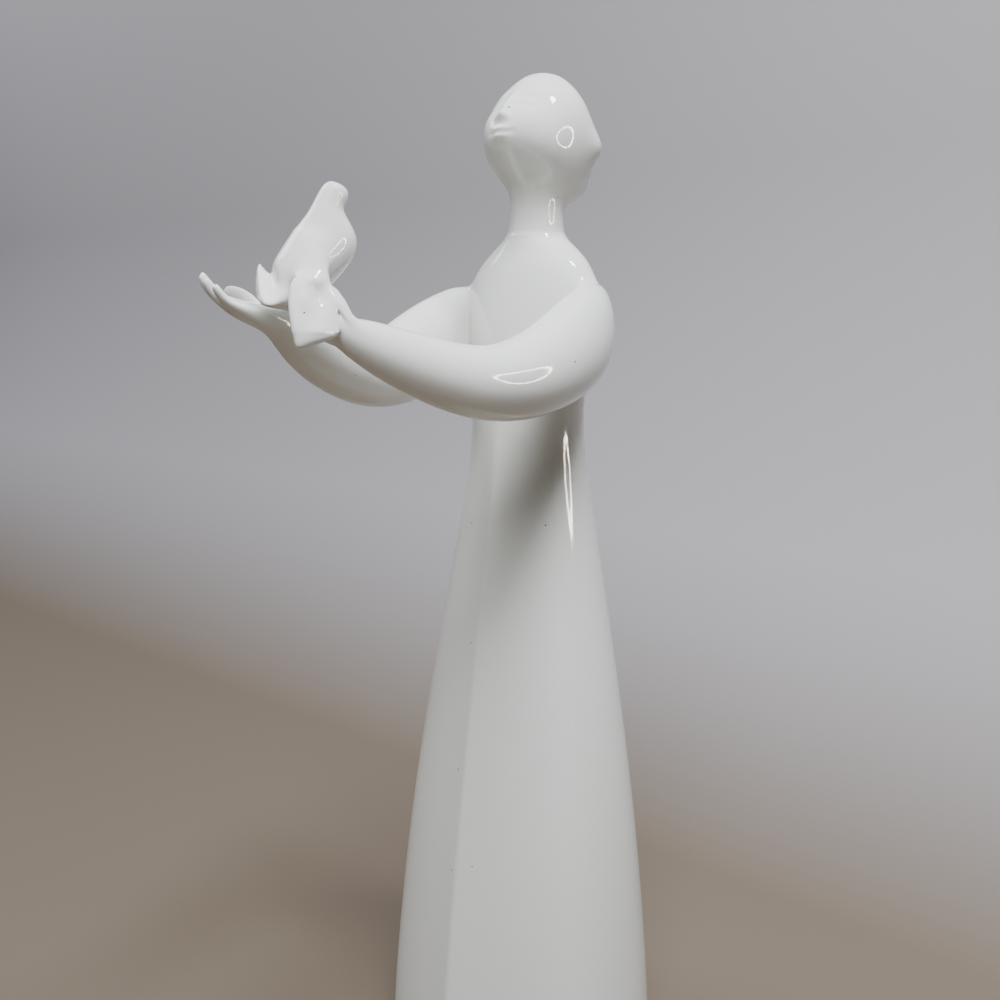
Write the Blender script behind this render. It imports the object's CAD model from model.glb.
# A glazed porcelain figurine: a woman in a long flared gown who holds out a dove
# on her open palms. Metres, +Z up. She faces -Y and her left side is +X.
from math import atan2, cos, hypot, radians, sin, sqrt

import bmesh
import bpy
import numpy as np
from mathutils import Matrix, Vector
from mathutils.bvhtree import BVHTree


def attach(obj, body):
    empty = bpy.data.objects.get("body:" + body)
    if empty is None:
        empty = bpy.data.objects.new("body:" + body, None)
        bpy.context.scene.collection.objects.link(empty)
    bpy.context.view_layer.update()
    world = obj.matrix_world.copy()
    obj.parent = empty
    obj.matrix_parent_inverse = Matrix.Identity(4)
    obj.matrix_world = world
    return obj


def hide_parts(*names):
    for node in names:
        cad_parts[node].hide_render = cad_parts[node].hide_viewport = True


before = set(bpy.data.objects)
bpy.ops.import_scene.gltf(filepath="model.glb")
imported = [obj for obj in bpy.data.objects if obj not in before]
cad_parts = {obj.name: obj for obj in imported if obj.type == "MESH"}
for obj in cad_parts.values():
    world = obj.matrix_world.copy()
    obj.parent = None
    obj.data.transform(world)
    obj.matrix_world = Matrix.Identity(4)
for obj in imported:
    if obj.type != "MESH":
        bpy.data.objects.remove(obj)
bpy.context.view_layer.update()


# The gown, the torso and the neck: slip-cast porcelain, one hollow tube that
# widens from a narrow waist to a round foot, with a soft ridge down its front.

UNIT = 0.001
UP = Vector((0, 0, 1))
LEFT_TURNS = (0, 11, 23, 36, 50, 64, 81, 99, 116, 130, 144, 157, 169, 180)
COLUMNS = 2 * (len(LEFT_TURNS) - 1)
WAIST_LEVEL = 134.0
HEM_RADIUS = 28.2
WAIST_RADIUS = 11.5
NECK_RADIUS = 5.3
FOOT_ROUNDING = 0.7
GOWN_LEVELS = (3.0, 14.0, 44.0, 76.0, 106.0, 128.0)
GOWN_SWELL = 0.75
GOWN_SWELL_POWER = 1.5
# The gown's half width and its reach to the front and back, as shares of its radius.
GOWN_WIDE = 1.04
GOWN_FRONT = 0.935
GOWN_FRONT_FLATTENING = 0.165
GOWN_BACK = 0.95
FLANK_SWELL = 0.085
RIDGE_HEIGHT = 0.05
RIDGE_TURN = 52
RIDGE_FLATNESS = 0.45
RIDGE_CREASE = 0.8


def point(x, y, z):
    """A place given in millimetres."""
    return Vector((x, y, z)) * UNIT


def ease(share):
    """Zero to one with level ends."""
    share = max(0.0, min(1.0, share))
    return share * share * (3 - 2 * share)


def column_turns():
    """Turns from the front of all the corners of a body ring, in radians."""
    right_side = [360 - turn for turn in reversed(LEFT_TURNS[1:-1])]
    return [radians(turn) for turn in list(LEFT_TURNS) + right_side]


def body_ring(level, middle, half_width, front, back, tilt=0.0):
    """Corners of one ring of the body, tipped back by tilt."""
    corners = []
    for turn in column_turns():
        reach = front if cos(turn) > 0 else back
        across = half_width * sin(turn)
        along = -reach * cos(turn)
        place = (across, middle + along * cos(tilt), level - along * sin(tilt))
        corners.append(point(*place))
    return corners


def gown_radius(level):
    """The gown widens from the waist to the hem in one long swelling line."""
    down = 1 - level / WAIST_LEVEL
    share = down + GOWN_SWELL * down ** GOWN_SWELL_POWER * (1 - down)
    return WAIST_RADIUS + (HEM_RADIUS - WAIST_RADIUS) * share


def gown_ring(level, inset=0.0):
    """A ring of the gown: two flat planes that meet in a ridge, between full flanks."""
    radius = gown_radius(level) - inset
    front = GOWN_FRONT - GOWN_FRONT_FLATTENING * level / WAIST_LEVEL
    back = GOWN_BACK * radius
    corners = body_ring(level, 0.0, GOWN_WIDE * radius, front * radius, back)
    fullness = FLANK_SWELL * ease(2 * (1 - level / WAIST_LEVEL))
    ridge = front * (1 + RIDGE_HEIGHT) * radius * UNIT
    end = Vector((sin(radians(RIDGE_TURN)) * GOWN_WIDE, cos(radians(RIDGE_TURN)) * front))
    end *= radius * UNIT * (1 + fullness)
    for corner, turn in zip(corners, column_turns()):
        if cos(turn) > 0:
            corner.xy *= 1 + fullness * sin(2 * turn) ** 2
        if cos(turn) > cos(radians(RIDGE_TURN)):
            plane = ridge + (end.y - ridge) * abs(corner.x) / end.x
            corner.y += (-plane - corner.y) * RIDGE_FLATNESS
    corners[0].y = -ridge
    return corners


def torso_rings():
    """Rings from the waist to the throat: level, middle, half width, front and back."""
    neck = NECK_RADIUS
    return [
        body_ring(138.0, 0.2, 12.0, 9.4, 10.6),
        body_ring(146.0, 0.5, 13.2, 9.2, 10.4),
        body_ring(154.5, 1.1, 14.8, 8.8, 9.4),
        body_ring(162.8, 1.7, 15.4, 7.6, 8.0),
        body_ring(167.0, 2.2, 13.4, 6.9, 7.0),
        body_ring(170.0, 2.7, 10.0, 6.3, 6.2),
        body_ring(172.2, 2.9, 6.9, neck + 0.7, neck + 0.5),
        body_ring(173.3, 3.0, neck + 0.3, neck + 0.25, neck + 0.2),
        body_ring(178.4, 3.2, neck, neck - 0.1, neck),
    ]


def extrude_ring(mesh, ring, corners):
    """Extrudes a closed ring of vertices to new corners and returns the new ring."""
    edges = [mesh.edges.get(pair) for pair in zip(ring, ring[1:] + ring[:1])]
    made = bmesh.ops.extrude_edge_only(mesh, edges=edges)["geom"]
    fresh = {part for part in made if isinstance(part, bmesh.types.BMVert)}
    following = []
    for vertex, corner in zip(ring, corners):
        partner = next(edge.other_vert(vertex) for edge in vertex.link_edges
                       if edge.other_vert(vertex) in fresh)
        partner.co = corner
        following.append(partner)
    return following


figure = bmesh.new()
circle = bmesh.ops.create_circle(figure, segments=COLUMNS, radius=HEM_RADIUS * UNIT)
foot = circle["verts"]
for vertex, corner in zip(foot, gown_ring(0.0, FOOT_ROUNDING)):
    vertex.co = corner
rings = [foot]
gown_corners = [gown_ring(FOOT_ROUNDING)] + [gown_ring(level) for level in GOWN_LEVELS]
for corners in gown_corners + torso_rings():
    rings.append(extrude_ring(figure, rings[-1], corners))
crease = figure.edges.layers.float.new("crease_edge")
for edge in figure.faces.new(foot).edges:
    edge[crease] = 1.0
for lower, upper in zip(rings[:len(gown_corners)], rings[1:len(gown_corners) + 1]):
    figure.edges.get((lower[0], upper[0]))[crease] = RIDGE_CREASE


# The head: cast with the body, tipped back to look up. The hair is drawn
# back smooth like a cap over the ears to a low knot at the nape.

HEAD_HALF_WIDTH = 10.4
# Each section: y and z of its front and of its back, and its share of the width.
HEAD_SECTIONS = (
    ((-2.4, 181.8), (9.4, 178.9), 0.55),
    ((-4.6, 185.0), (11.0, 179.8), 0.68),
    ((-8.0, 188.3), (12.6, 181.2), 0.84),
    ((-8.9, 191.4), (14.2, 183.2), 0.95),
    ((-7.8, 194.4), (15.2, 185.6), 1.01),
    ((-5.6, 197.4), (15.2, 188.4), 1.03),
    ((-2.8, 200.2), (14.2, 191.6), 0.98),
    ((0.2, 202.3), (12.6, 195.0), 0.84),
    ((2.4, 203.6), (10.8, 198.2), 0.62),
)
HEAD_CENTRE = Vector((0.0, 4.4, 191.6))
HEAD_TILT = radians(30)
HEAD_UP = Vector((0, sin(HEAD_TILT), cos(HEAD_TILT)))
HEAD_FORWARD = Vector((0, -cos(HEAD_TILT), sin(HEAD_TILT)))
CROWN_STRIP = 7
CROWN_RISE = 1.9


def head_rings():
    """Rings from the throat to the crown, each tipped to its own front and back."""
    made = []
    for (front_y, front_z), (back_y, back_z), share in HEAD_SECTIONS:
        tilt = atan2(front_z - back_z, back_y - front_y)
        reach = hypot(front_z - back_z, back_y - front_y) / 2
        middle = (front_y + back_y) / 2
        level = (front_z + back_z) / 2
        made.append(body_ring(level, middle, HEAD_HALF_WIDTH * share, reach, reach, tilt))
    return made


for corners in head_rings():
    rings.append(extrude_ring(figure, rings[-1], corners))
crown = rings[-1]
crown_edges = []
for start in (0, COLUMNS // 2):
    for step in range(CROWN_STRIP):
        column = start + step - CROWN_STRIP // 2
        pair = (crown[column % COLUMNS], crown[(column + 1) % COLUMNS])
        crown_edges.append(figure.edges.get(pair))
rim = set(figure.verts)
bmesh.ops.grid_fill(figure, edges=crown_edges)
crown_middle = sum((vertex.co for vertex in crown), Vector()) / len(crown)
crown_spread = HEAD_SECTIONS[-1][2] * HEAD_HALF_WIDTH * UNIT
for vertex in set(figure.verts) - rim:
    out = min(1.0, (vertex.co - crown_middle).length / crown_spread)
    vertex.co += HEAD_UP * UNIT * CROWN_RISE * (1 - out * out)


# The arms: wide tubes like full sleeves that swing down and forward from the
# shoulders and narrow to the wrists. They are cast with the body.

# The armholes: columns of the body, and rings above the waist where they start.
ARMHOLE_COLUMNS = (5, 6, 7, 8)
ARMHOLE_RINGS_UP = 2
ARM_RADIUS = 6.6
WRIST_RADIUS = 2.9
ARM_CORNERS = 10
TEN_SIDED_SHRINK = 0.936
SHOULDER_SPLAY = 0.9
WRIST_TWIST = 18
# Each station of an arm: place, and how far its width and height have come from
# the wrist's radius to the arm's.
LEFT_ARM = (
    ((16.4, -1.4, 155.2), 0.95, 1.55),
    ((18.4, -9.0, 151.6), 0.95, 1.68),
    ((18.8, -17.0, 148.3), 1.00, 1.40),
    ((18.2, -25.0, 146.2), 1.00, 1.19),
    ((16.4, -33.0, 145.6), 0.94, 0.92),
    ((13.2, -41.0, 148.0), 0.72, 0.70),
    ((10.0, -48.4, 151.2), 0.42, 0.43),
    ((7.4, -54.4, 154.2), 0.02, 0.05),
)
RIGHT_ARM = (
    ((-16.4, -1.4, 155.2), 0.95, 1.55),
    ((-18.2, -9.0, 151.6), 0.95, 1.60),
    ((-18.2, -17.5, 147.6), 1.00, 1.46),
    ((-16.8, -26.0, 146.2), 1.00, 1.13),
    ((-14.6, -34.5, 147.4), 0.92, 0.89),
    ((-12.4, -42.5, 149.6), 0.70, 0.62),
    ((-10.4, -49.6, 152.6), 0.36, 0.32),
    ((-9.0, -55.2, 156.0), 0.00, 0.00),
)
# Palms up: heading, share of the full length, then in degrees the pitch of the
# palm, its roll towards the dove and the bend of each finger joint. The thumb
# leaves the wrist between two corners of its ring.
LEFT_HAND = {
    "heading": (-0.79, -0.61), "length": 0.74, "pitch": 17, "roll": 30, "curl": 15,
    "thumb_root": (3, 4),
    "thumb": ((7.8, -55.9, 158.1), (6.5, -56.4, 160.3), (5.3, -56.6, 162.0)),
}
RIGHT_HAND = {
    "heading": (-0.41, -0.91), "length": 1.08, "pitch": 18, "roll": 8, "curl": 16,
    "thumb_root": (4, 5),
    "thumb": ((-15.6, -55.2, 158.5), (-16.6, -57.2, 160.6), (-17.0, -60.0, 161.6)),
}


def hand_forward(hand):
    """The direction in which a palm points, from its heading and pitch."""
    heading = Vector((*hand["heading"], 0)).normalized()
    pitch = radians(hand["pitch"])
    return heading * cos(pitch) + UP * sin(pitch)


def arm_corners(place, along, side, across, high, turn):
    """Corners of one ring of an arm, from the inner side over the top."""
    inward = side * along.cross(UP).normalized()
    upward = side * inward.cross(along).normalized()
    corners = []
    for index in range(ARM_CORNERS):
        angle = radians(360 / ARM_CORNERS * index + turn)
        offset = inward * across * cos(angle) + upward * high * sin(angle)
        corners.append(place + offset)
    return corners


def faces_round(verts):
    """The faces that meet at some vertices, each one once."""
    return list(dict.fromkeys(face for vertex in verts for face in vertex.link_faces))


def add_arm(mesh, first_row, path, hand, side):
    """One arm, grown from an armhole of three faces by two. Returns its last ring."""
    columns = [column if side > 0 else COLUMNS - column for column in ARMHOLE_COLUMNS]
    low, middle, high = rings[first_row:first_row + 3]
    inner = (middle[columns[1]], middle[columns[2]])
    bmesh.ops.delete(mesh, geom=faces_round(inner), context="FACES")
    ring = [middle[columns[0]]] + [high[column] for column in columns]
    ring += [middle[columns[3]]] + [low[column] for column in reversed(columns)]
    places = [sum((vertex.co for vertex in ring), Vector()) / len(ring)]
    places += [point(*station[0]) for station in path]
    for step, station in enumerate(path, start=1):
        after = places[min(step + 1, len(path))]
        along = (after - places[step - 1]).normalized()
        if step == 1:
            along = (along + Vector((side * SHOULDER_SPLAY, 0, 0))).normalized()
        if step == len(path):
            along = (along + hand_forward(hand)).normalized()
        across, high = (UNIT * (WRIST_RADIUS + (ARM_RADIUS - WRIST_RADIUS) * fullness)
                        / TEN_SIDED_SHRINK for fullness in station[1:])
        turn = WRIST_TWIST * ease(step / len(path))
        corners = arm_corners(places[step], along, side, across, high, turn)
        ring = extrude_ring(mesh, ring, corners)
    return ring


armhole = len(gown_corners) + ARMHOLE_RINGS_UP
left_wrist = add_arm(figure, armhole, LEFT_ARM, LEFT_HAND, 1)
right_wrist = add_arm(figure, armhole, RIGHT_ARM, RIGHT_HAND, -1)


# The hands: small hand-modelled palms, turned up and slightly cupped, with
# close fingers and a thumb that steadies the dove.

PALM_HALF_WIDTH = 4.3
FINGER_RADIUS = 0.95
PALM_LENGTH = 7.6
FINGER_LENGTHS = (4.4, 5.8, 6.3, 5.9)
# Each section of a palm: share of its length and of its width, half thickness and
# how far its edges are cupped.
PALM_SECTIONS = ((0.32, 0.84, 2.1, 0.2), (0.68, 1.0, 1.8, 0.6), (1.0, 1.0, 1.3, 0.8))
PALM_EDGE_THINNING = 0.45
# Each part of a finger: share of its length, and size as a share of its radius.
FINGER_PARTS = ((0.30, 1.0), (0.42, 0.98), (0.28, 0.66))
THUMB_SIZES = (1.45, 1.25, 0.75)


def palm_corners(place, inward, normal, half_width, thick, cup):
    """Corners of one ring of a palm: five on top, then five below."""
    top = []
    below = []
    for share in (1, 0.5, 0, -0.5, -1):
        edge = share * share
        middle = place + (inward * half_width * share + normal * cup * edge) * UNIT
        rise = normal * thick * (1 - PALM_EDGE_THINNING * edge) * UNIT
        top.append(middle + rise)
        below.append(middle - rise)
    return top + below[::-1]


def face_middle(face):
    """The mean of a face's corners."""
    return sum((vertex.co for vertex in face.verts), Vector()) / len(face.verts)


def extrude_section(mesh, face, centre, ahead, radius):
    """Extrudes a four-cornered face to a section square to ahead."""
    middle = face_middle(face)
    corners = []
    for vertex in face.verts:
        offset = vertex.co - middle
        flat = offset - ahead * offset.dot(ahead)
        corners.append(centre + flat.normalized() * radius * sqrt(2))
    end = bmesh.ops.extrude_discrete_faces(mesh, faces=[face])["faces"][0]
    for vertex, corner in zip(end.verts, corners):
        vertex.co = corner
    return end


def add_finger(mesh, face, forward, normal, length, curl):
    """One finger, bent up a little more at each joint."""
    place = face_middle(face)
    bend = 0.0
    for share, size in FINGER_PARTS:
        bend += radians(curl)
        ahead = forward * cos(bend) + normal * sin(bend)
        place = place + ahead * length * share * UNIT
        face = extrude_section(mesh, face, place, ahead, FINGER_RADIUS * UNIT * size)


def add_thumb(mesh, face, places):
    """The thumb, from the heel of the hand."""
    before = face_middle(face)
    for index, (place, size) in enumerate(zip(places, THUMB_SIZES)):
        after = places[min(index + 1, len(places) - 1)]
        ahead = (after - before).normalized()
        face = extrude_section(mesh, face, place, ahead, FINGER_RADIUS * UNIT * size)
        before = place


def add_hand(mesh, ring, wrist, hand, side):
    """A cupped palm with four fingers and a thumb, grown from the wrist's ring."""
    heading = Vector((*hand["heading"], 0)).normalized()
    pitch = radians(hand["pitch"])
    roll = radians(hand["roll"])
    forward = hand_forward(hand)
    level_inward = side * heading.cross(UP)
    level_normal = UP * cos(pitch) - heading * sin(pitch)
    inward = level_inward * cos(roll) - level_normal * sin(roll)
    normal = level_normal * cos(roll) + level_inward * sin(roll)
    palm = [ring]
    for reach, width, thick, cup in PALM_SECTIONS:
        place = wrist + forward * PALM_LENGTH * hand["length"] * reach * UNIT
        corners = palm_corners(place, inward, normal, PALM_HALF_WIDTH * width, thick, cup)
        palm.append(extrude_ring(mesh, palm[-1], corners))
    knuckles = palm[-1]
    for finger, length in enumerate(FINGER_LENGTHS):
        quad = (knuckles[finger], knuckles[finger + 1],
                knuckles[-2 - finger], knuckles[-1 - finger])
        length *= hand["length"]
        add_finger(mesh, mesh.faces.new(quad), forward, normal, length, hand["curl"])
    one, two = hand["thumb_root"]
    outer_edge = {palm[0][one], palm[0][two], palm[1][one], palm[1][two]}
    root = next(face for face in palm[1][one].link_faces if set(face.verts) == outer_edge)
    add_thumb(mesh, root, [point(*place) for place in hand["thumb"]])


add_hand(figure, left_wrist, point(*LEFT_ARM[-1][0]), LEFT_HAND, 1)
add_hand(figure, right_wrist, point(*RIGHT_ARM[-1][0]), RIGHT_HAND, -1)


# The dove: pressed in its own small mould and stuck on the palms with slip
# before firing. Its head is toward her, its tail is raised and its wings droop.

DOVE_HALF_WIDTH = 4.6
WING_THICKNESS = 2.2
DOVE_PLACE = Vector((0.0, -53.5, 0.0))
DOVE_HEADING = Vector((0.47, 0.88, 0)).normalized()
DOVE_SIDE = Vector((0.88, -0.47, 0)).normalized()
DOVE_CORNERS = 8
EIGHT_SIDED_SHRINK = 0.902
# Each section, tail to head: forward, sideways and level, share of the half width,
# half depth, roll in degrees, and how far its sides are scooped and swept.
DOVE_SECTIONS = (
    (-10.6, 0.3, 161.8, 1.20, 1.1, -42, 1.5, 1.7),
    (-9.2, 0.3, 160.9, 1.10, 1.2, -38, 1.3, 1.2),
    (-7.2, 0.2, 160.6, 0.94, 2.4, -24, 0.6, 0.5),
    (-4.8, 0.0, 161.0, 0.90, 4.9, -8, 0.0, 0.0),
    (-3.0, 0.0, 164.0, 1.00, 4.6, 0, 0.0, 0.0),
    (-0.2, 0.0, 167.2, 1.00, 5.1, 0, 0.0, 0.0),
    (2.2, 0.0, 169.7, 0.80, 5.1, 0, 0.0, 0.0),
    (1.0, 0.0, 172.7, 0.62, 3.1, 0, 0.0, 0.0),
    (1.8, 0.0, 175.0, 0.46, 2.2, 0, 0.0, 0.0),
    (2.6, 0.0, 176.7, 0.44, 2.0, 0, 0.0, 0.0),
    (3.0, 0.0, 178.0, 0.26, 1.2, 0, 0.0, 0.0),
)
BEAK_ROW = 9
BEAK_CORNERS = (5, 6)
BEAK_REACH = 0.9
# Each section of a wing: how far out, forward and level of its rear and front edge,
# its hollow and its share of the thickness.
WING_SECTIONS = (
    (5.9, (-5.8, 163.4), (0.2, 163.0), 0.0, 1.0),
    (7.6, (-7.1, 160.0), (0.5, 159.4), -0.9, 1.0),
    (9.1, (-7.1, 156.4), (1.0, 156.8), -0.5, 1.0),
    (9.8, (-6.9, 152.9), (0.9, 154.8), 0.3, 0.95),
    (10.0, (-6.6, 151.8), (0.6, 154.1), 0.4, 0.5),
)
WING_ROOT_LEVEL = 163.5
WING_ROOT_ROWS = (3, 5)
NEAR_WING_CORNERS = (7, 0)
FAR_WING_CORNERS = (3, 4)
# The way the near wing's face looks: out and up.
WING_FACING = (0.88, 0.5)
# The far wing's drop as a share of the near one's, and how far out it is held.
FAR_WING_LIFT = 0.55
FAR_WING_SPREAD = 1.5


def dove_point(forward, sideways, level):
    """A place on the dove, along its own heading and side."""
    place = DOVE_PLACE + DOVE_HEADING * forward + DOVE_SIDE * sideways
    return Vector((place.x, place.y, level)) * UNIT


def add_wing(mesh, rows, corners, side):
    """A drooping wing, grown from two faces on one side of the body."""
    rear, front = WING_ROOT_ROWS
    root = []
    for corner in corners:
        root.append([rows[row][corner] for row in range(rear, front + 1)])
    faces = []
    for step in range(front - rear):
        quad = {root[0][step], root[0][step + 1], root[1][step], root[1][step + 1]}
        near = root[0][step].link_faces
        faces.append(next(face for face in near if set(face.verts) == quad))
    bmesh.ops.delete(mesh, geom=faces, context="FACES")
    upper = root[1] if root[1][0].co.z > root[0][0].co.z else root[0]
    lower = root[0] if upper is root[1] else root[1]
    ring = upper + lower[::-1]
    lift = 1.0 if side > 0 else FAR_WING_LIFT
    for out, start, end, dip, thick in WING_SECTIONS:
        made = []
        for edge in (1, -1):
            row = []
            for share in (0, 0.5, 1):
                forward = start[0] + (end[0] - start[0]) * share
                level = start[1] + (end[1] - start[1]) * share
                level = WING_ROOT_LEVEL + (level - WING_ROOT_LEVEL) * lift
                hollow = dip * (1 - abs(2 * share - 1))
                half = WING_THICKNESS / 2 * thick
                spread = out + (1 - lift) * FAR_WING_SPREAD + hollow
                spread += edge * half * WING_FACING[0]
                level += edge * half * WING_FACING[1]
                row.append(dove_point(forward, side * spread, level))
            made.extend(row if edge > 0 else row[::-1])
        ring = extrude_ring(mesh, ring, made)
    mesh.faces.new((ring[0], ring[1], ring[4], ring[5]))
    mesh.faces.new((ring[1], ring[2], ring[3], ring[4]))


bird = bmesh.new()
centres = [dove_point(*section[:3]) for section in DOVE_SECTIONS]
circle = bmesh.ops.create_circle(bird, segments=DOVE_CORNERS, radius=DOVE_HALF_WIDTH * UNIT)
tail = circle["verts"]
dove_rows = []
for index, section in enumerate(DOVE_SECTIONS):
    after = centres[min(index + 1, len(centres) - 1)]
    along = (after - centres[max(index - 1, 0)]).normalized()
    back = DOVE_SIDE.cross(along).normalized()
    wide, high, roll, scoop, swept = section[3:]
    roll = radians(roll)
    side = DOVE_SIDE * cos(roll) + back * sin(roll)
    dorsal = back * cos(roll) - DOVE_SIDE * sin(roll)
    corners = []
    for step in range(DOVE_CORNERS):
        angle = radians(360 / DOVE_CORNERS * (step + 0.5))
        across = DOVE_HALF_WIDTH * wide * cos(angle) / EIGHT_SIDED_SHRINK
        deep = high * sin(angle) / EIGHT_SIDED_SHRINK + scoop * cos(angle) ** 2
        ahead = along * swept * cos(angle)
        corners.append(centres[index] + (side * across + dorsal * deep + ahead) * UNIT)
    if dove_rows:
        dove_rows.append(extrude_ring(bird, dove_rows[-1], corners))
    else:
        for vertex, corner in zip(tail, corners):
            vertex.co = corner
        dove_rows.append(list(tail))
bird.faces.new(dove_rows[0])
bird.faces.new(dove_rows[-1])
for corner in BEAK_CORNERS:
    dove_rows[BEAK_ROW][corner].co += DOVE_HEADING * BEAK_REACH * UNIT
add_wing(bird, dove_rows, NEAR_WING_CORNERS, 1)
add_wing(bird, dove_rows, FAR_WING_CORNERS, -1)


# The casting: the rounded body comes from one mould. The features are raised or
# sunk in it by hand, and the dove is joined on with a small fillet of slip.

SMOOTH_LEVELS = 3
HEAD_AXES = np.array((Vector((1, 0, 0)), HEAD_FORWARD, HEAD_UP))
DOVE_AXES = np.array((DOVE_HEADING, DOVE_SIDE, UP))
FACE_DEPTH = 9.5
FACE_SPREAD = 5
# Each mound of the face: across and up, spread across and up, and height. Those
# off the middle line are made on both sides.
FACE_MOUNDS = (
    (4.0, 0.7, 1.9, 1.2, -0.35),
    (3.9, 0.2, 1.6, 0.9, 0.4),
    (3.9, -0.7, 1.6, 0.35, -0.15),
    (3.7, 3.0, 3.0, 1.8, 0.2),
    (0.0, 7.5, 5.0, 3.0, 0.5),
    (0.0, 0.4, 0.9, 2.2, 0.65),
    (0.0, -1.9, 1.0, 1.5, 0.85),
    (0.0, -3.5, 1.15, 0.9, 1.0),
    (1.2, -3.8, 0.7, 0.6, 0.3),
    (0.0, -6.1, 1.9, 0.5, 0.45),
    (0.0, -7.3, 1.6, 0.6, 0.5),
    (0.0, -6.75, 1.2, 0.22, -0.25),
    (1.5, -6.6, 1.0, 0.22, -0.2),
    (2.6, -6.3, 0.6, 0.35, -0.2),
    (0.0, -8.4, 1.6, 0.5, -0.2),
    (0.0, -9.9, 2.3, 1.5, 0.6),
    (5.0, -3.4, 2.4, 2.4, 0.3),
)
# The hair over the ears, the groove behind it and the knot at the nape: place
# and spread on the head's axes, height, and the way it stands out.
HAIR_MOUNDS = (
    ((9.0, -5.2, 0.6), (4.6, 3.6, 3.4), 1.55, (0.75, 0.66, 0)),
    ((8.2, -7.5, -1.4), (3.0, 2.5, 1.4), -0.3, (0.75, 0.66, 0)),
    ((0.0, -11.5, -4.0), (6.5, 4.0, 3.6), 1.6, (0, 0.85, -0.52)),
    ((5.5, -9.0, -6.5), (3.6, 3.0, 2.8), 1.0, (0.8, 0.5, -0.3)),
)
# The gown's neckline, a faint welt round the foot of the neck: level, reach from
# the neck's middle line, half width and height.
NECKLINE = (172.8, 9.5, 0.5, 0.1)
# Mounds on the dove along its own axes, as forward, sideways and up: place,
# spread, height and the way it is raised.
DOVE_MOUNDS = (
    ((-4.2, 8.6, 159.6), (1.0, 3.0, 1.9), 0.8, (0, 1, 0)),
    ((-2.6, 7.6, 162.6), (1.5, 3.0, 0.8), 0.6, (0, 1, 0)),
    ((0.4, 9.2, 159.8), (0.8, 3.0, 2.0), 0.75, (0, 1, 0)),
    ((-2.0, 8.8, 160.2), (1.0, 3.0, 1.5), -0.75, (0, 1, 0)),
    ((-3.4, 10.4, 154.6), (1.5, 3.0, 1.6), 0.35, (0, 1, 0)),
    ((-0.6, 10.4, 155.6), (1.0, 3.0, 1.6), -0.35, (0, 1, 0)),
    ((-2.4, 0.0, 171.0), (2.0, 3.5, 1.6), 0.55, (-0.9, 0, 0.4)),
)
# Rounds of rubbing down. The thin ends of tail and wings get more than the rest.
RUB_STRENGTH = 0.5
DOVE_ROUNDS = 6
TAIL_END = -8.6
WING_END = 154.6
EDGE_ROUNDS = 22
# The join: reach of the fillet each way, its rounds, and the width of the slivers
# of the seam that are merged.
FILLET_REACH = 0.75
FILLET_ROUNDS = 14
SLIVER = 0.02


def rounded(mesh, name):
    """Turns a cage into an object with its Subdivision Surface applied."""
    bmesh.ops.recalc_face_normals(mesh, faces=mesh.faces)
    data = bpy.data.meshes.new(name + "_cage")
    mesh.to_mesh(data)
    mesh.free()
    cage = bpy.data.objects.new(name + "_cage", data)
    bpy.context.scene.collection.objects.link(cage)
    rounding = cage.modifiers.new("Rounding", "SUBSURF")
    rounding.levels = SMOOTH_LEVELS
    rounding.render_levels = SMOOTH_LEVELS
    view = bpy.context.evaluated_depsgraph_get()
    smooth = bpy.data.meshes.new_from_object(cage.evaluated_get(view))
    bpy.data.objects.remove(cage)
    smooth.name = name
    smooth.shade_smooth()
    solid = bpy.data.objects.new(name, smooth)
    bpy.context.scene.collection.objects.link(solid)
    return solid


def rub_down(mesh, verts, rounds):
    """Smooths some vertices of a mesh."""
    for turn in range(rounds):
        bmesh.ops.smooth_vert(mesh, verts=verts, factor=RUB_STRENGTH,
                              use_axis_x=True, use_axis_y=True, use_axis_z=True)


def surface_places(data):
    """The corners of a mesh in millimetres, one row each."""
    places = np.empty(3 * len(data.vertices))
    data.vertices.foreach_get("co", places)
    return places.reshape(-1, 3) / UNIT


def swell(places, centre, axes, spread, push):
    """Raises a soft mound along push. The spread is measured along the axes."""
    offset = (places - np.array(centre)) @ axes.T / np.array(spread)
    places += np.exp(-(offset ** 2).sum(axis=1))[:, None] * np.array(push)


def head_point(across, forward, up):
    """A place on the head, along its own axes."""
    return HEAD_CENTRE + Vector((across, 0, 0)) + HEAD_FORWARD * forward + HEAD_UP * up


statue = rounded(figure, "porcelain_figure")
places = surface_places(statue.data)
for across, up, wide, tall, height in FACE_MOUNDS:
    for mirror in ((-1, 1) if across else (1,)):
        centre = head_point(across * mirror, FACE_DEPTH, up)
        swell(places, centre, HEAD_AXES, (wide, FACE_SPREAD, tall), HEAD_FORWARD * height)
for (across, forward, up), spread, height, way in HAIR_MOUNDS:
    for mirror in ((-1, 1) if across else (1,)):
        push = Vector((way[0] * mirror, way[1], way[2])).normalized() * height
        swell(places, head_point(across * mirror, forward, up), HEAD_AXES, spread, push)
level, reach, wide, height = NECKLINE
away = np.hypot(places[:, 0], places[:, 1])
welt = height * np.exp(-((places[:, 2] - level) / wide) ** 2) * (away < reach) / away
places[:, :2] *= 1 + welt[:, None]
statue.data.vertices.foreach_set("co", (places * UNIT).ravel())

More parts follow.
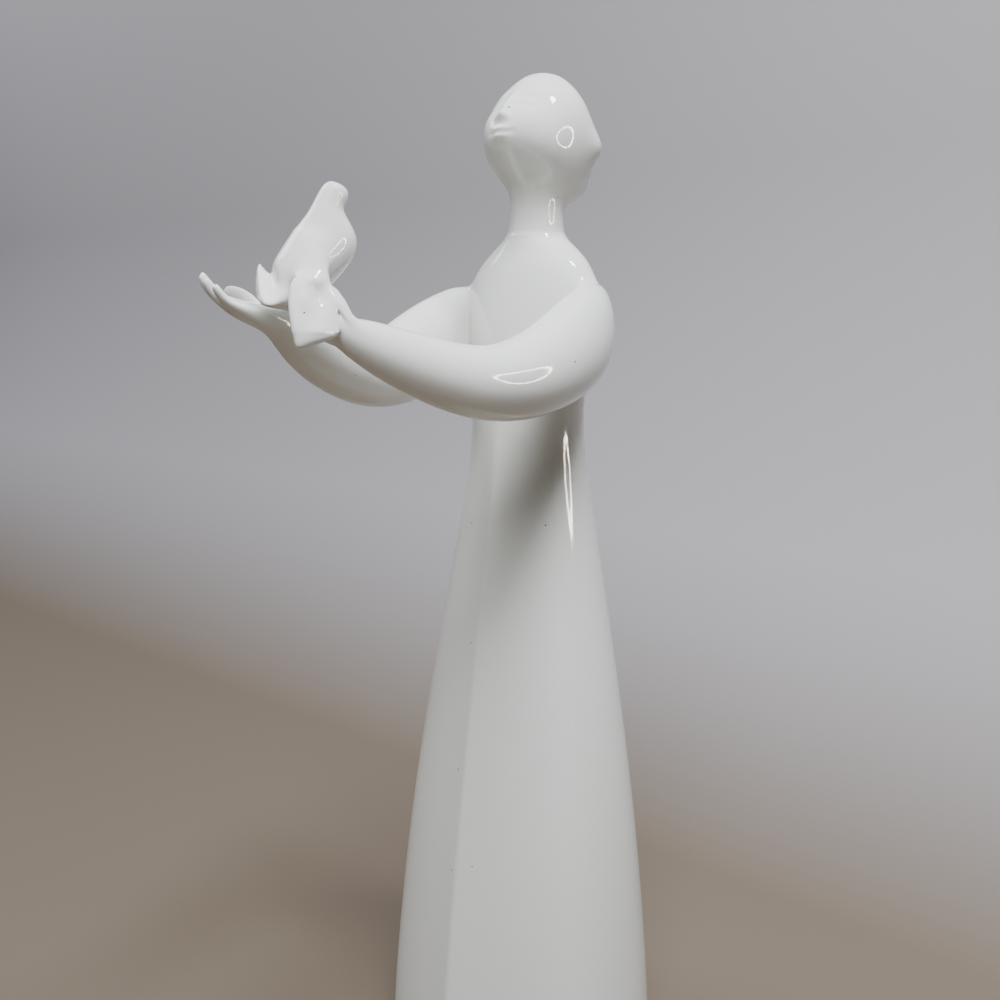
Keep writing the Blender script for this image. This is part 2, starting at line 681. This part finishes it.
dove = rounded(bird, "dove")
places = surface_places(dove.data)
for (forward, sideways, level), spread, height, way in DOVE_MOUNDS:
    centre = dove_point(forward, sideways, level) / UNIT
    swell(places, centre, DOVE_AXES, spread, height * np.array(way) @ DOVE_AXES)
dove.data.vertices.foreach_set("co", (places * UNIT).ravel())
softened = bmesh.new()
softened.from_mesh(dove.data)
thin = [vertex for vertex in softened.verts
        if (vertex.co / UNIT - DOVE_PLACE).dot(DOVE_HEADING) < TAIL_END
        or vertex.co.z < WING_END * UNIT]
rub_down(softened, softened.verts, DOVE_ROUNDS)
rub_down(softened, thin, EDGE_ROUNDS)
softened.to_mesh(dove.data)
softened.free()

view = bpy.context.evaluated_depsgraph_get()
figure_surface = BVHTree.FromObject(statue, view)
dove_surface = BVHTree.FromObject(dove, view)
join = statue.modifiers.new("Dove", "BOOLEAN")
join.operation = "UNION"
join.object = dove
view = bpy.context.evaluated_depsgraph_get()
joined = bpy.data.meshes.new_from_object(statue.evaluated_get(view))
statue.modifiers.clear()
statue.data = joined
bpy.data.objects.remove(dove)
joined.name = "porcelain_figure"

casting = bmesh.new()
casting.from_mesh(joined)
reach = FILLET_REACH * UNIT
seam = []
for vertex in casting.verts:
    near_figure = figure_surface.find_nearest(vertex.co, reach)[0]
    near_dove = dove_surface.find_nearest(vertex.co, reach)[0]
    if near_figure is not None and near_dove is not None:
        seam.append(vertex)
bmesh.ops.remove_doubles(casting, verts=seam, dist=SLIVER * UNIT)
seam = [vertex for vertex in seam if vertex.is_valid]
bmesh.ops.triangulate(casting, faces=faces_round(seam))
rub_down(casting, seam, FILLET_ROUNDS)
casting.to_mesh(joined)
casting.free()
joined.shade_smooth()

# Glaze gathers in the hollows: each corner's hollowness in millimetres is spread
# over its neighbours, and the share that pools is kept for the glaze.
HOLLOW_ROUNDS = 24
POOLING_PER_MILLIMETRE = 60

places = surface_places(joined)
normals = np.empty(3 * len(joined.vertices))
joined.vertices.foreach_get("normal", normals)
normals = normals.reshape(-1, 3)
ends = np.empty(2 * len(joined.edges), dtype=int)
joined.edges.foreach_get("vertices", ends)
one, two = ends.reshape(-1, 2).T
count = np.bincount(ends, minlength=len(places))


def spread_out(values):
    """Each corner's mean over its neighbours."""
    total = np.bincount(one, values[two], len(places))
    total += np.bincount(two, values[one], len(places))
    return total / count


middles = np.stack([spread_out(places[:, axis]) for axis in range(3)], axis=1)
hollow = ((middles - places) * normals).sum(axis=1)
for turn in range(HOLLOW_ROUNDS):
    hollow = spread_out(hollow)
pooling = joined.attributes.new("pooling", "FLOAT", "POINT")
pooling.data.foreach_set("value", np.clip(hollow * POOLING_PER_MILLIMETRE, 0, 1))


# The glaze: one clear glossy glaze over white porcelain, with a few pinholes. The
# foot is wiped clean before firing, so the underside is bare and dull.

GLAZE = (0.80, 0.82, 0.80, 1)
POOLED_GLAZE = (0.60, 0.57, 0.50, 1)
PINHOLE = (0.10, 0.07, 0.05, 1)
BISCUIT = (0.72, 0.68, 0.60, 1)
GLAZE_IOR = 1.52
GLAZE_ROUGHNESS = 0.06
BISCUIT_ROUGHNESS = 0.75
# Pinholes: cells to the metre, and where in its cell a hole's floor and edge lie.
PINHOLE_CELLS = 160
PINHOLE_EDGE = (0.020, 0.034)
PINHOLE_DEPTH = 0.0001
PINHOLE_RELIEF = 0.6
# Up to where the foot is bare, and the waviness of the glaze.
WIPED_EDGE = (0.0001, 0.0004)
RIPPLE_SCALE = 70
RIPPLE_DEPTH = 0.00005

glaze = bpy.data.materials.new("white_glaze")
glaze.use_nodes = True
nodes = glaze.node_tree.nodes
links = glaze.node_tree.links
shader = nodes["Principled BSDF"]
shader.inputs["IOR"].default_value = GLAZE_IOR
where = nodes.new("ShaderNodeTexCoord")


def map_range(source, low, high, start, stop):
    """A node that maps low to start and high to stop."""
    ramp = nodes.new("ShaderNodeMapRange")
    links.new(source, ramp.inputs["Value"])
    ramp.inputs["From Min"].default_value = low
    ramp.inputs["From Max"].default_value = high
    ramp.inputs["To Min"].default_value = start
    ramp.inputs["To Max"].default_value = stop
    return ramp.outputs["Result"]


def blend(mask, under, over):
    """A node that covers one colour, fixed or linked, with another by a mask."""
    mix = nodes.new("ShaderNodeMix")
    mix.data_type = "RGBA"
    links.new(mask, mix.inputs["Factor"])
    if isinstance(under, tuple):
        mix.inputs["A"].default_value = under
    else:
        links.new(under, mix.inputs["A"])
    mix.inputs["B"].default_value = over
    return mix.outputs["Result"]


pooled = nodes.new("ShaderNodeAttribute")
pooled.attribute_name = "pooling"
pits = nodes.new("ShaderNodeTexVoronoi")
pits.inputs["Scale"].default_value = PINHOLE_CELLS
links.new(where.outputs["Object"], pits.inputs["Vector"])
pinholes = map_range(pits.outputs["Distance"], *PINHOLE_EDGE, 1, 0)
height = nodes.new("ShaderNodeSeparateXYZ")
links.new(where.outputs["Object"], height.inputs["Vector"])
bare_foot = map_range(height.outputs["Z"], *WIPED_EDGE, 1, 0)
colour = blend(pooled.outputs["Fac"], GLAZE, POOLED_GLAZE)
colour = blend(pinholes, colour, PINHOLE)
colour = blend(bare_foot, colour, BISCUIT)
links.new(colour, shader.inputs["Base Color"])
roughness = map_range(bare_foot, 0, 1, GLAZE_ROUGHNESS, BISCUIT_ROUGHNESS)
links.new(roughness, shader.inputs["Roughness"])

ripple = nodes.new("ShaderNodeTexNoise")
ripple.inputs["Scale"].default_value = RIPPLE_SCALE
ripple.inputs["Detail"].default_value = 1
links.new(where.outputs["Object"], ripple.inputs["Vector"])
waves = nodes.new("ShaderNodeBump")
waves.inputs["Strength"].default_value = 1
waves.inputs["Distance"].default_value = RIPPLE_DEPTH
links.new(ripple.outputs["Fac"], waves.inputs["Height"])
dents = nodes.new("ShaderNodeBump")
dents.invert = True
dents.inputs["Strength"].default_value = PINHOLE_RELIEF
dents.inputs["Distance"].default_value = PINHOLE_DEPTH
links.new(pinholes, dents.inputs["Height"])
links.new(waves.outputs["Normal"], dents.inputs["Normal"])
links.new(dents.outputs["Normal"], shader.inputs["Normal"])
joined.materials.clear()
joined.materials.append(glaze)

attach(statue, "root")
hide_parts("dove_statue")


# The studio: a sheet of paper, brown where it lies flat and pale grey where it
# bends up behind the statue, soft lamps, a ring lamp and the camera.

FLOOR_COLOUR = (0.16, 0.128, 0.098, 1)
BACKDROP_COLOUR = (0.42, 0.41, 0.44, 1)
PAPER_ROUGHNESS = 0.9
PAPER_FADE = (0.08, 0.30)
SWEEP_HALF_WIDTH = 1.5
SWEEP_FRONT = -1.4
SWEEP_BEND = 0.16
SWEEP_RADIUS = 0.25
SWEEP_STEPS = 24
SWEEP_TOP = 1.8

sweep = bmesh.new()
ends = [sweep.verts.new((side * SWEEP_HALF_WIDTH, SWEEP_FRONT, 0)) for side in (-1, 1)]
edge = sweep.edges.new(ends)
for step in ((0, SWEEP_BEND - SWEEP_FRONT, 0), "bend", (0, 0, SWEEP_TOP)):
    if step == "bend":
        bend = bmesh.ops.spin(sweep, geom=[edge], axis=(1, 0, 0), angle=radians(90),
                              steps=SWEEP_STEPS, cent=(0, SWEEP_BEND, SWEEP_RADIUS))
        made = bend["geom_last"]
    else:
        made = bmesh.ops.extrude_edge_only(sweep, edges=[edge])["geom"]
        moved = [part for part in made if isinstance(part, bmesh.types.BMVert)]
        bmesh.ops.translate(sweep, verts=moved, vec=step)
    edge = next(part for part in made if isinstance(part, bmesh.types.BMEdge)
                and abs(part.verts[0].co.x - part.verts[1].co.x) > SWEEP_HALF_WIDTH)
bmesh.ops.recalc_face_normals(sweep, faces=sweep.faces)
paper = bpy.data.meshes.new("paper_sweep")
sweep.to_mesh(paper)
sweep.free()
paper.shade_smooth()
backdrop = bpy.data.objects.new("paper_sweep", paper)
bpy.context.scene.collection.objects.link(backdrop)
matte = bpy.data.materials.new("pale_paper")
matte.use_nodes = True
nodes = matte.node_tree.nodes
links = matte.node_tree.links
where = nodes.new("ShaderNodeTexCoord")
depth = nodes.new("ShaderNodeSeparateXYZ")
links.new(where.outputs["Object"], depth.inputs["Vector"])
fade = map_range(depth.outputs["Y"], *PAPER_FADE, 0, 1)
shader = nodes["Principled BSDF"]
shader.inputs["Roughness"].default_value = PAPER_ROUGHNESS
links.new(blend(fade, FLOOR_COLOUR, BACKDROP_COLOUR), shader.inputs["Base Color"])
paper.materials.append(matte)

AIR_COLOUR = (0.80, 0.84, 0.92, 1)
# The air's own light: what falls on the statue, and what is seen past the paper.
AIR_LIGHT = 0.035
AIR_SEEN = 0.3

world = bpy.data.worlds.new("studio_air")
world.use_nodes = True
nodes = world.node_tree.nodes
links = world.node_tree.links
air = nodes["Background"]
air.inputs["Color"].default_value = AIR_COLOUR
path = nodes.new("ShaderNodeLightPath")
strength = map_range(path.outputs["Is Camera Ray"], 0, 1, AIR_LIGHT, AIR_SEEN)
links.new(strength, air.inputs["Strength"])
bpy.context.scene.world = world

WARM_WHITE = (1.0, 1.0, 0.98)
DAYLIGHT = (0.97, 0.99, 1.0)
COOL_WHITE = (0.97, 0.97, 1.0)


def add_light(name, place, aim, width, height, power, tint, mirrored=True):
    """A soft rectangular light at a place, pointed at another."""
    data = bpy.data.lights.new(name, "AREA")
    data.shape = "RECTANGLE"
    data.size = width
    data.size_y = height
    data.energy = power
    data.color = tint
    lamp = bpy.data.objects.new(name, data)
    lamp.location = place
    lamp.rotation_euler = (Vector(aim) - Vector(place)).to_track_quat("-Z", "Y").to_euler()
    lamp.visible_glossy = mirrored
    bpy.context.scene.collection.objects.link(lamp)


add_light("key", (0.21, 0.0, 0.62), (0, 0, 0.16), 0.05, 0.08, 1.2, WARM_WHITE)
add_light("front", (0.16, -0.27, 0.46), (0, -0.02, 0.17), 0.18, 0.18, 1.3, DAYLIGHT,
          mirrored=False)
add_light("overhead", (0.22, -0.18, 0.80), (0, 0, 0.12), 0.30, 0.30, 7.5, DAYLIGHT,
          mirrored=False)
add_light("backdrop_wash", (-1.0, -0.2, 1.0), (-0.7, 0.45, 0.3), 0.9, 0.5, 8.0, COOL_WHITE)

# The ring lamp is seen only as rings in the glaze.
RING_PLACE = Vector((0.29, 0.078, 0.205))
RING_AIM = Vector((0, 0, 0.19))
RING_RADIUS = 0.07
RING_THICKNESS = 0.0045
RING_SIDES = 12
RING_STEPS = 64
RING_GLOW = 60
RING_COLOUR = (1.0, 0.90, 0.78, 1)

ring = bmesh.new()
profile = bmesh.ops.create_circle(ring, segments=RING_SIDES, radius=RING_THICKNESS)["verts"]
upright = Matrix.Rotation(radians(90), 3, "X")
bmesh.ops.rotate(ring, verts=profile, cent=(0, 0, 0), matrix=upright)
bmesh.ops.translate(ring, verts=profile, vec=(RING_RADIUS, 0, 0))
bmesh.ops.spin(ring, geom=ring.edges[:], axis=(0, 0, 1), cent=(0, 0, 0), angle=radians(360),
               steps=RING_STEPS, use_merge=True)
facing = (RING_AIM - RING_PLACE).to_track_quat("Z", "Y").to_matrix()
bmesh.ops.rotate(ring, verts=ring.verts[:], cent=(0, 0, 0), matrix=facing)
bmesh.ops.translate(ring, verts=ring.verts[:], vec=RING_PLACE)
tube = bpy.data.meshes.new("ring_lamp")
ring.to_mesh(tube)
ring.free()
ring_lamp = bpy.data.objects.new("ring_lamp", tube)
bpy.context.scene.collection.objects.link(ring_lamp)
ring_lamp.visible_diffuse = False
ring_lamp.visible_camera = False
ring_lamp.visible_shadow = False
glow = bpy.data.materials.new("ring_glow")
glow.use_nodes = True
shader = glow.node_tree.nodes["Principled BSDF"]
shader.inputs["Emission Color"].default_value = RING_COLOUR
shader.inputs["Emission Strength"].default_value = RING_GLOW
tube.materials.append(glow)

VIEW_TURN = radians(38)
CAMERA_DISTANCE = 0.205
CAMERA_HEIGHT = 0.157
CAMERA_PITCH = radians(10.37)
CAMERA_YAW = radians(1.5)
SENSOR_WIDTH = 36
FOCAL_LENGTH = 36
NEAREST_SEEN = 0.01

eye = Vector((sin(VIEW_TURN), -cos(VIEW_TURN), 0)) * CAMERA_DISTANCE
eye.z = CAMERA_HEIGHT
heading = VIEW_TURN + CAMERA_YAW
look = Vector((-sin(heading), cos(heading), 0)) * cos(CAMERA_PITCH)
look.z = -sin(CAMERA_PITCH)
lens = bpy.data.cameras.new("camera")
lens.sensor_width = SENSOR_WIDTH
lens.lens = FOCAL_LENGTH
lens.clip_start = NEAREST_SEEN
camera = bpy.data.objects.new("camera", lens)
camera.location = eye
camera.rotation_euler = look.to_track_quat("-Z", "Y").to_euler()
bpy.context.scene.collection.objects.link(camera)
bpy.context.scene.camera = camera
